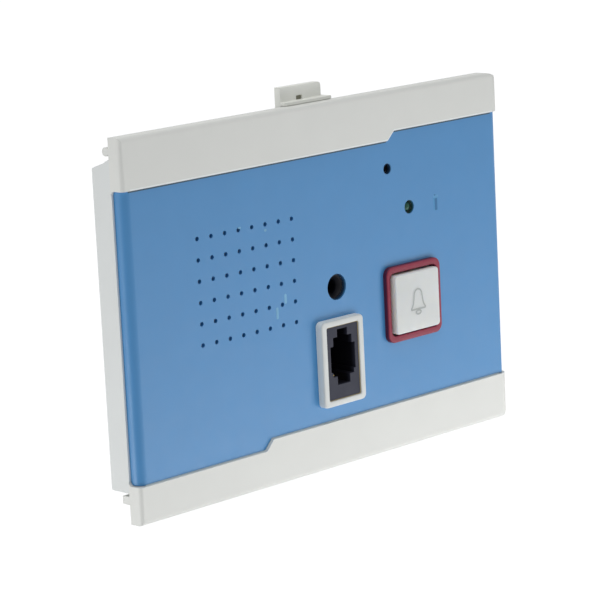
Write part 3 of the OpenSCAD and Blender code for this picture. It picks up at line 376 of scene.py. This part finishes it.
# Pieces built here. Shapes are rings of points in X and Z, in mm, at a depth along Y.

CORNER_STEPS = 8
FILLET_STEPS = 5
SMOOTH_TURN = radians(38)
SMALLEST_R = 0.01
SAME_POINT = 1e-7
# How far a thin piece goes into what carries it
SUNK = 0.05


def ring(centre, w, h, r, y):
    """A rounded rectangle, or a circle where w, h and 2r are the same."""
    r = max(min(r, w / 2, h / 2), SMALLEST_R)
    points = []
    for quarter, (sx, sz) in enumerate(((1, 1), (-1, 1), (-1, -1), (1, -1))):
        mid = (centre[0] + sx * (w / 2 - r), centre[1] + sz * (h / 2 - r))
        for i in range(CORNER_STEPS + 1):
            a = (quarter + i / CORNER_STEPS) * pi / 2
            points.append(Vector((mid[0] + r * cos(a), y, mid[1] + r * sin(a))) * MM)
    return points


def circle(centre, r, y):
    return ring(centre, 2 * r, 2 * r, r, y)


def finish_mesh(name, bm, material):
    bmesh.ops.remove_doubles(bm, verts=bm.verts, dist=SAME_POINT)
    bmesh.ops.recalc_face_normals(bm, faces=bm.faces)
    mesh = bpy.data.meshes.new(name)
    bm.to_mesh(mesh)
    bm.free()
    mesh.shade_smooth()
    mesh.set_sharp_from_angle(angle=SMOOTH_TURN)
    mesh.materials.append(material)
    return link(bpy.data.objects.new(name, mesh))


def add_loft(bm, rings, loop):
    """Skins rings that have the same count of points; an open stack of rings is closed at both ends."""
    rows = [[bm.verts.new(p) for p in points] for points in rings]
    count = len(rows[0])
    pairs = zip(rows, rows[1:] + rows[:1]) if loop else zip(rows, rows[1:])
    for a, b in pairs:
        for i in range(count):
            j = (i + 1) % count
            bm.faces.new((a[i], a[j], b[j], b[i]))
    if not loop:
        bm.faces.new(rows[0])
        bm.faces.new(rows[-1])


def loft(name, material, rings, loop=False):
    bm = bmesh.new()
    add_loft(bm, rings, loop)
    return finish_mesh(name, bm, material)


def fillet(radius, inward):
    """Steps (in from the side, back from the front) round an edge, up to the front or down from it."""
    steps = []
    for i in range(FILLET_STEPS + 1):
        a = i / FILLET_STEPS * pi / 2
        steps.append((radius * (1 - cos(a)), radius * (1 - sin(a))))
    return steps if inward else [(-s[0], s[1]) for s in reversed(steps)]


def ride_for(piece, body, node=None):
    """Ties a piece to its body, and hides the node that it stands for."""
    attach(piece, body)
    if node:
        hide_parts(node)


# Piece, node, slot, hole, outer and inner corner radius, outer and inner edge radius, collar
RIMS = (
    ("call_rim", "call_bezel", "call_red", (17.05, 15.8), 2.2, 1.4, 0.32, 0.2, 0.7),
    ("handset_rim", "handset_bezel", "bezel_white", (11.05, 18.2), 1.3, 0.5, 0.5, 0.25, 0.75),
)


def make_rims(mats):
    """The moulded rims on the blue face: rounded outside and inside, with a collar through the panel."""
    for name, node, slot, hole, r_out, r_in, e_out, e_in, collar in RIMS:
        lo, hi = box_mm(node)
        face = box_mm("blue_fascia")[0].y
        mid = middle(node)
        w, h = hi.x - lo.x, hi.z - lo.z
        rings = [ring(mid, w, h, r_out, face)]
        for out, back in fillet(e_out, True):
            rings.append(ring(mid, w - 2 * out, h - 2 * out, r_out - out, lo.y + back))
        for out, back in fillet(e_in, False):
            rings.append(ring(mid, hole[0] - 2 * out, hole[1] - 2 * out, r_in - out, lo.y + back))
        rings.append(ring(mid, *hole, r_in, hi.y))
        for y in (hi.y, face):
            rings.append(ring(mid, hole[0] + 2 * collar, hole[1] + 2 * collar, r_in + collar, y))
        ride_for(loft(name, mats[slot], rings, loop=True), "housing", node)


CAP_SIZE = (15.7, 14.75)
CAP_R = 0.9
CAP_SOFT = 0.3
CAP_SKIRT = 1.0
CAP_CROWN = 0.04
# The underside: how far its floor lies behind the skirt's depth, and its last ring in from the skirt
CAP_FLOOR = 0.2
CAP_FLOOR_IN = 4
# Rings of the crown, as shares of the way to the middle
CAP_RINGS = (0.3, 0.6, 0.85)


def make_cap(mats):
    lo, hi = box_mm("call_cap")
    mid = middle("call_cap")
    w, h = CAP_SIZE
    rings = []
    floor_y = lo.y + CAP_SKIRT + CAP_FLOOR
    for inset, y in ((CAP_SKIRT + CAP_FLOOR_IN, floor_y), (CAP_SKIRT, floor_y), (CAP_SKIRT, hi.y)):
        rings.append(ring(mid, w - 2 * inset, h - 2 * inset, CAP_R / 2, y))
    rings.append(ring(mid, w, h, CAP_R, hi.y))
    for out, back in fillet(CAP_SOFT, True):
        y = lo.y + CAP_CROWN + back
        rings.append(ring(mid, w - 2 * out, h - 2 * out, CAP_R - out / 2, y))
    for share in CAP_RINGS:
        inset = CAP_SOFT + share * (h / 2 - CAP_SOFT)
        y = lo.y + CAP_CROWN * (1 - share) ** 2
        rings.append(ring(mid, w - 2 * inset, h - 2 * inset, CAP_R / 2 + share, y))
    cap = loft("call_cap_moulded", mats["cap_white"], rings)
    ride_for(cap, "call_button", "call_cap")


def stroke(bm, points, width, front, back):
    """A closed line of the given width, as a thin solid ring."""
    count = len(points)
    outer, inner = [], []
    for i, p in enumerate(points):
        a, b = points[i - 1], points[(i + 1) % count]
        along = Vector((b[0] - a[0], b[1] - a[1])).normalized()
        side = Vector((along.y, -along.x)) * width / 2
        outer.append((p[0] + side.x, p[1] + side.y))
        inner.append((p[0] - side.x, p[1] - side.y))
    rings = [
        [Vector((x, y, z)) * MM for x, z in side]
        for side, y in ((outer, back), (outer, front), (inner, front), (inner, back))
    ]
    add_loft(bm, rings, True)


# The right half of the bell, from the crown to the lip, and the clapper's drop and half axes
BELL_HALF = (
    (0, 1), (0.14, 0.97), (0.3, 0.88), (0.42, 0.7), (0.48, 0.45), (0.52, 0.15), (0.6, -0.2),
    (0.72, -0.45), (0.86, -0.62), (0.84, -0.68), (0.4, -0.68), (0, -0.68),
)
CLAPPER_DROP = 0.95
CLAPPER = (0.3, 0.16)
CLAPPER_STEPS = 16
BELL_SIZE = 3.0
BELL_LINE = 0.42
BELL_PROUD = 0.01
BELL_SUNK = 0.12


def make_bell(mats):
    """A plain bell in the place of the word on the cap."""
    top = box_mm("call_cap")[0].y
    mid = middle("call_cap")
    outline = BELL_HALF + tuple((-x, z) for x, z in reversed(BELL_HALF[1:-1]))
    turns = [tau * i / CLAPPER_STEPS for i in range(CLAPPER_STEPS)]
    clapper = [(CLAPPER[0] * cos(a), CLAPPER[1] * sin(a) - CLAPPER_DROP) for a in turns]
    bm = bmesh.new()
    for line in (outline, clapper[::-1]):
        points = [(mid[0] + BELL_SIZE * x, mid[1] + BELL_SIZE * z) for x, z in line]
        stroke(bm, points, BELL_LINE, top - BELL_PROUD, top + BELL_SUNK)
    ride_for(finish_mesh("bell_mark", bm, mats["mark_gray"]), "call_button")


def panel_middle():
    """The blue face's depth and the faceplate's middle along X, in mm."""
    return box_mm("blue_fascia")[0].y, middle("front_housing")[0]


# The tick mark beside the lamp: its X from the faceplate's middle, its corners, and its parts as
# name, material, place, width, height and height over the blue
TICK_X = 39.55
TICK_R = 0.12
TICK = (
    ("tick_edge", "mark_soft", (-0.1, 14.5), 1.6, 3.5, 0.012),
    ("tick_bar", "mark_blue", (0.05, 14.3), 0.95, 3.0, 0.02),
    ("tick_head", "mark_pale", (0.0, 16.3), 1.9, 0.6, 0.02),
    ("tick_dot", "mark_blue", (-0.3, 16.65), 0.45, 0.35, 0.026),
)
# Pale rubbed streaks among the speaker holes, pale as wear and as a painted glint: name, place, width,
# height
SCUFF_GLINTS = (
    ("scuff_long", (-14.4, -0.35), 0.8, 2.4),
    ("scuff_low", (-17.3, -3.35), 0.75, 2.9),
    ("scuff_short", (-19.9, 17.05), 0.8, 0.6),
    ("scuff_top", (-28.2, 18.9), 0.9, 0.4),
)
SCUFF_PROUD = 0.008
PLATE_SMALLEST_R = 0.02


def thin_plate(name, material, mid, w, h, r, face, proud):
    """A very thin plate with a chamfered edge, on the blue face."""
    top_r = max(r - proud / 2, PLATE_SMALLEST_R)
    rings = [
        ring(mid, w, h, r, face + SUNK),
        ring(mid, w, h, r, face - proud / 2),
        ring(mid, w - proud, h - proud, top_r, face - proud),
    ]
    ride_for(loft(name, material, rings), "housing")


def make_marks(mats):
    """The little tick mark beside the lamp, and the worn places, pale as wear and as a painted glint."""
    face, x = panel_middle()
    for name, slot, at, w, h, proud in TICK:
        mid = (x + TICK_X + at[0], at[1])
        thin_plate(name, mats[slot], mid, w, h, TICK_R, face, proud)
    for name, at, w, h in SCUFF_GLINTS:
        mid = (x + at[0], at[1])
        thin_plate(name, mats["scuff"], mid, w, h, w / 2, face, SCUFF_PROUD)


# Dark tubes in the round holes, painted shade on the holes' walls: place, outer and inner radius, front
# behind the blue face, length
HOLE_SHADES = (
    ("jack_hole_shade", (3.05, -0.45), 3.18, 2.92, 0.4, 0.6, "liner_navy"),
    ("mic_hole_shade", (22.5, 25.6), 1.34, 1.14, 0.25, 0.7, "liner_navy"),
    ("lamp_hole_shade", (29.8, 15.1), 1.69, 1.53, 0.3, 0.7, "liner_green"),
)


def make_hole_shades(mats):
    """Short dark tubes along Y, each with a rounded front lip, as painted shade on the walls of the round
    holes.
    """
    face, x = panel_middle()
    for name, at, r_out, r_in, behind, length, slot in HOLE_SHADES:
        mid = (x + at[0], at[1])
        front = face + behind
        back = front + length
        lip = (r_out - r_in) / 2
        section = (
            (r_out, back), (r_out, front + lip), (r_out - lip / 2, front),
            (r_in + lip / 2, front), (r_in, front + lip), (r_in, back),
        )
        rings = [circle(mid, r, y) for r, y in section]
        ride_for(loft(name, mats[slot], rings, loop=True), "housing")


# The edges of the blue field above and below, as (x, z) from its left end to its right end
SEAM_TOP = ((-61.9, 32.55), (22.3, 32.55), (24.7, 34.75), (61.0, 34.75))
SEAM_BOTTOM = ((-61.9, -35.6), (-23.7, -35.6), (-21.3, -33.15), (61.0, -33.15))
# Thin lines along them, painted shadow, painted light and painted highlight: name, line, material, from
# and to along Z from the line, and the node it lies on
RIBBONS = (
    # A painted shadow on the blue under the white strip's lower edge
    ("seam_top", SEAM_TOP, "seam_dark", -0.5, 0, "blue_fascia", "blue_fascia"),
    # Painted light over the shaded joint above the bottom strip
    ("seam_bottom", SEAM_BOTTOM, "seam_gray", 0, 0.26, "blue_fascia", "blue_fascia"),
    # A painted highlight along the white strip's lower edge
    ("lip_top", SEAM_TOP, "lip_white", 0.03, 0.36, "front_housing", "white_shell"),
)
RIBBON_PROUD = 0.02
RIBBON_SUNK = 0.3


def make_ribbons(mats):
    x = middle("front_housing")[0]
    for name, line, material, low, high, node, slot in RIBBONS:
        surface = box_mm(node)[0].y
        front, back = surface - RIBBON_PROUD, surface + RIBBON_SUNK
        rings = []
        for px, pz in line:
            corners = ((front, pz + low), (front, pz + high), (back, pz + high), (back, pz + low))
            rings.append([Vector((x + px, y, z)) * MM for y, z in corners])
        ride_for(loft(name, mats[material], rings), "housing")


# Light packing that closes the joint behind the blue's two ends: depth in from the end, and along Y
END_SEAM_IN = (0.06, 0.9)
END_SEAM_Y = (-0.1, 0.16)
END_SEAM_Z = ((-34.6, 31.5), (-32.2, 33.8))


def make_end_seams(mats):
    lo, hi = box_mm("blue_fascia")
    near, far = END_SEAM_IN
    front, back = (hi.y + y for y in END_SEAM_Y)
    ends = (("seam_left", lo.x, 1), ("seam_right", hi.x, -1))
    for (name, end, inward), heights in zip(ends, END_SEAM_Z):
        section = ((near, front), (near, back), (far, back), (far, front))
        rings = [[Vector((end + inward * d, y, z)) * MM for d, y in section] for z in heights]
        ride_for(loft(name, mats["rear_white"], rings), "housing")


# The slot's floor in the latch's tab, dark brown as painted shade in the slot: X from the spring, Z, size,
# corner, and depths from the tab's front
SLOT_FROM_SPRING = -0.5
SLOT_Z = 46.2
SLOT_SIZE = (2.2, 1.4)
SLOT_R = 0.1
SLOT_Y = (0.5, 1.8)
# The tab's front behind the faceplate's front
TAB_BACK = 4.75


def make_slot_floor(mats):
    tab = box_mm("front_housing")[0].y + TAB_BACK
    mid = (middle("latch_spring")[0] + SLOT_FROM_SPRING, SLOT_Z)
    rings = [ring(mid, *SLOT_SIZE, SLOT_R, tab + y) for y in SLOT_Y]
    ride_for(loft("latch_slot_floor", mats["slot_brown"], rings), "latch")


# The tan line round the handset socket, painted shade of the rim's inner wall warmed as a painted
# reflection: its outside, its width and corner radii, and its depths from the socket's front: the outer
# and inner edge of its front, and its back
RIM_SHADE_HOLE = (11.02, 18.17)
RIM_SHADE_W = 0.14
RIM_SHADE_R = (0.5, 0.4)
RIM_SHADE_Y = (-0.12, -0.04, 0.3)


def make_rim_shade(mats):
    """The thin tan line between the handset socket and its rim: painted shade of the rim's inner wall,
    warmed as a painted reflection.
    """
    mid = middle("handset_bezel")
    socket = box_mm("handset_socket")[0].y
    outer = (*RIM_SHADE_HOLE, RIM_SHADE_R[0])
    inner = (RIM_SHADE_HOLE[0] - 2 * RIM_SHADE_W, RIM_SHADE_HOLE[1] - 2 * RIM_SHADE_W, RIM_SHADE_R[1])
    front_out, front_in, back = (socket + y for y in RIM_SHADE_Y)
    section = ((outer, back), (outer, front_out), (inner, front_in), (inner, back))
    rings = [ring(mid, *shape, y) for shape, y in section]
    ride_for(loft("handset_rim_shade", mats["seal_tan"], rings, loop=True), "housing")


# The felt disc's section, as (radius, depth from the capsule's front)
FELT = ((1.32, 0.48), (1.32, 0.1), (1.1, 0.02), (0.5, -0.02))


def make_felt(mats):
    """The felt disc in the microphone's mouth."""
    front = box_mm("mic_capsule")[0].y
    rings = [circle(middle("mic_capsule"), r, front + y) for r, y in FELT]
    ride_for(loft("mic_felt", mats["felt"], rings), "housing")


SPRING_TURNS = 5
SPRING_R = 1.55
WIRE_R = 0.25
STEPS_PER_TURN = 20
WIRE_SIDES = 10


def make_spring(mats):
    """The latch spring as a round wire, with a flat turn at each end."""
    lo, hi = box_mm("latch_spring")
    x, y, low = (lo.x + hi.x) / 2, (lo.y + hi.y) / 2, lo.z + WIRE_R
    length = hi.z - lo.z
    rise = length - 2 * WIRE_R
    around = [tau * k / WIRE_SIDES for k in range(WIRE_SIDES)]
    rings = []
    for i in range(-STEPS_PER_TURN, (SPRING_TURNS + 1) * STEPS_PER_TURN + 1):
        turn = i / STEPS_PER_TURN
        z = low + rise * min(max(turn, 0), SPRING_TURNS) / SPRING_TURNS
        out = Vector((cos(tau * turn), sin(tau * turn), 0))
        mid = Vector((x, y, z)) + out * SPRING_R
        rings.append([(mid + WIRE_R * (cos(a) * out + Vector((0, 0, sin(a))))) * MM for a in around])
    spring = loft("latch_spring_wire", mats["steel"], rings)
    ride_for(spring, "housing", "latch_spring")
    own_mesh(spring)


# Moulding details behind: ejector marks as (x, z) on the tray and on the pocket, an arrow that
# points up, and the label's border
PIN_R = 2.6
PIN_LINE = 0.22
TRAY_PINS = ((-70, 26), (-42, 26), (-70, -26), (-42, -26), (41, 26), (41, -26))
POCKET_PINS = ((-25, 23), (-25, -23), (25, 23), (27, -26))
ARROW_AT = (-56, 0)
ARROW_SIZE = 5
ARROW = ((0, 1), (0.7, 0.25), (0.24, 0.25), (0.24, -1), (-0.24, -1), (-0.24, 0.25), (-0.7, 0.25))
REAR_PROUD = 0.35
# The arrow's section, as (height, size): its foot in the tray, the start of its chamfer and its top
ARROW_SECTION = ((-SUNK, ARROW_SIZE), (REAR_PROUD * 0.7, ARROW_SIZE), (REAR_PROUD, ARROW_SIZE * 0.96))
LABEL_MARGIN = 1.0
LABEL_LINE = 0.3
LABEL_R = (0.6, 0.3)
LABEL_PROUD = 0.01


def rear_line(name, material, mid, outer, inner, y, proud):
    """A thin closed line on a rear face at y; outer and inner are (w, h, r)."""
    section = ((outer, y - SUNK), (outer, y + proud), (inner, y + proud), (inner, y - SUNK))
    rings = [ring(mid, *shape, depth) for shape, depth in section]
    ride_for(loft(name, material, rings, loop=True), "housing")


def make_rear_marks(mats):
    white = mats["rear_white"]
    lo, hi = box_mm("rating_label")
    size, hollow = 2 * PIN_R, 2 * (PIN_R - PIN_LINE)
    outer, inner = (size, size, size / 2), (hollow, hollow, hollow / 2)
    for where, spots, y in (("tray", TRAY_PINS, 0), ("pocket", POCKET_PINS, lo.y)):
        for i, at in enumerate(spots):
            rear_line(f"{where}_pin_{i}", white, at, outer, inner, y, REAR_PROUD / 2)
    rings = [
        [Vector((ARROW_AT[0] + scale * px, y, ARROW_AT[1] + scale * pz)) * MM for px, pz in ARROW]
        for y, scale in ARROW_SECTION
    ]
    ride_for(loft("up_arrow", white, rings), "housing")
    w, h = hi.x - lo.x - 2 * LABEL_MARGIN, hi.z - lo.z - 2 * LABEL_MARGIN
    outer, inner = (w, h, LABEL_R[0]), (w - 2 * LABEL_LINE, h - 2 * LABEL_LINE, LABEL_R[1])
    mid = middle("rating_label")
    rear_line("label_border", mats["mark_gray"], mid, outer, inner, hi.y, LABEL_PROUD)


def make_pieces(mats):
    make_rims(mats)
    make_cap(mats)
    make_bell(mats)
    make_marks(mats)
    make_felt(mats)
    make_hole_shades(mats)
    make_ribbons(mats)
    make_rim_shade(mats)
    make_end_seams(mats)
    make_slot_floor(mats)
    make_spring(mats)
    make_rear_marks(mats)


# Stage and light

FLOOR_DROP = 0.3
FLOOR_SIZE = 8.0
FLOOR_GLOW = 0.72
FLOOR_COLOUR = (0.8, 0.8, 0.8, 1)
FLOOR_ROUGHNESS = 0.9


def seen_directly(tree):
    """1 for what the camera, a reflection or a see-through piece looks at."""
    path = tree.nodes.new("ShaderNodeLightPath")
    seen = path.outputs["Is Camera Ray"]
    for other in ("Is Glossy Ray", "Is Transmission Ray"):
        either = tree.nodes.new("ShaderNodeMath")
        either.operation = "MAXIMUM"
        tree.links.new(seen, either.inputs[0])
        tree.links.new(path.outputs[other], either.inputs[1])
        seen = either.outputs["Value"]
    return seen


def make_stage():
    """A pale floor, white where it is seen, that takes the part's shadow."""
    half = FLOOR_SIZE / 2
    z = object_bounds()[0].z - FLOOR_DROP
    mesh = bpy.data.meshes.new("floor")
    corners = [(-half, -half, z), (half, -half, z), (half, half, z), (-half, half, z)]
    mesh.from_pydata(corners, [], [(0, 1, 2, 3)])
    floor = link(bpy.data.objects.new("floor", mesh))
    m, tree, bsdf = shader("floor_pale")
    bsdf.inputs["Base Color"].default_value = FLOOR_COLOUR
    bsdf.inputs["Roughness"].default_value = FLOOR_ROUGHNESS
    glow = tree.nodes.new("ShaderNodeEmission")
    glow.inputs["Strength"].default_value = FLOOR_GLOW
    both = tree.nodes.new("ShaderNodeAddShader")
    tree.links.new(bsdf.outputs["BSDF"], both.inputs[0])
    tree.links.new(glow.outputs["Emission"], both.inputs[1])
    mix = tree.nodes.new("ShaderNodeMixShader")
    tree.links.new(seen_directly(tree), mix.inputs["Fac"])
    tree.links.new(bsdf.outputs["BSDF"], mix.inputs[1])
    tree.links.new(both.outputs["Shader"], mix.inputs[2])
    tree.links.new(mix.outputs["Shader"], tree.nodes["Material Output"].inputs["Surface"])
    floor.data.materials.append(m)


def add_area(name, at, size, power):
    """A soft white lamp at a point, turned to the part's middle."""
    data = bpy.data.lights.new(name, "AREA")
    data.shape = "RECTANGLE"
    data.size, data.size_y = size
    data.energy = power
    lamp = link(bpy.data.objects.new(name, data))
    lamp.visible_camera = False
    lo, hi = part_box("front_housing")
    lamp.location = at
    lamp.rotation_mode = "QUATERNION"
    lamp.rotation_quaternion = ((lo + hi) / 2 - Vector(at)).to_track_quat("-Z", "Y")


WORLD_TINT = (0.96, 0.98, 1.0, 1)
WORLD_SOFT = 0.4
PURE_WHITE = (1, 1, 1, 1)
# Name, place, width and height, power
LAMPS = (
    ("low_front", (0.055, -0.185, -0.165), (0.34, 0.12), 0.34),
    ("right", (0.42, -0.42, -0.2), (0.35, 0.2), 0.4),
    ("far_left", (-0.42, 0.17, -0.25), (0.3, 0.3), 1.22),
    ("overhead", (-0.1, -0.05, 0.5), (0.4, 0.4), 0.9),
)


def make_light():
    world = bpy.data.worlds.new("studio")
    bpy.context.scene.world = world
    world.use_nodes = True
    tree = world.node_tree
    soft = tree.nodes["Background"]
    soft.inputs["Color"].default_value = WORLD_TINT
    soft.inputs["Strength"].default_value = WORLD_SOFT
    white = tree.nodes.new("ShaderNodeBackground")
    white.inputs["Color"].default_value = PURE_WHITE
    mix = tree.nodes.new("ShaderNodeMixShader")
    tree.links.new(seen_directly(tree), mix.inputs["Fac"])
    tree.links.new(soft.outputs["Background"], mix.inputs[1])
    tree.links.new(white.outputs["Background"], mix.inputs[2])
    tree.links.new(mix.outputs["Shader"], tree.nodes["World Output"].inputs["Surface"])
    for lamp in LAMPS:
        add_area(*lamp)


make_camera()
materials = make_materials()
dress_nodes(materials)
make_pieces(materials)
make_stage()
make_light()
bpy.context.scene.view_settings.view_transform = "Standard"
